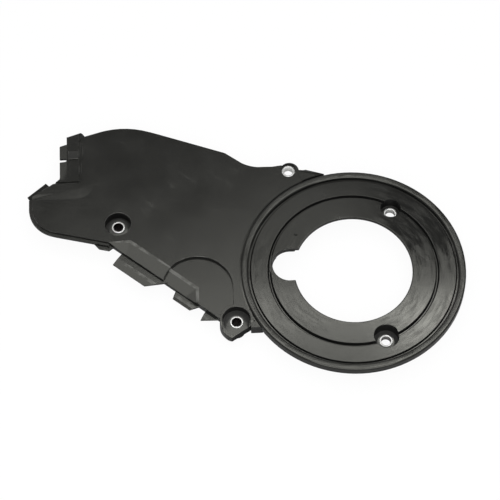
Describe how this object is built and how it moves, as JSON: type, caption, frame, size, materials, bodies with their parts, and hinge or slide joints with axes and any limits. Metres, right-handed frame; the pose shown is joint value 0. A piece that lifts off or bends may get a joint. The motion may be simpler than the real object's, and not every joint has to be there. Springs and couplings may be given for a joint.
{
  "type": "timing cover",
  "caption": "Moulded lower timing cover: a flat arm and a dished ring with a keyhole opening for the crank, screwed to the engine through metal sleeves.",
  "frame": {"origin": "where the crank axis crosses the mounting plane, which is the engine-side end of the arm's two long screw bosses", "axes": "+Z along the crank axis, out of the front face; +X from the arm's end towards the crank ring"},
  "size_m": [0.2968, 0.196, 0.019],
  "materials": {
    "plastic": "satin",
    "sleeve_metal": "bright turned"
  },
  "bodies": {
    "root": {"cover": "plastic", "left_sleeve": "sleeve_metal", "lower_sleeve": "sleeve_metal", "ear_sleeve": "sleeve_metal", "upper_ring_sleeve": "sleeve_metal", "lower_ring_sleeve": "sleeve_metal"}
  },
  "joints": []
}
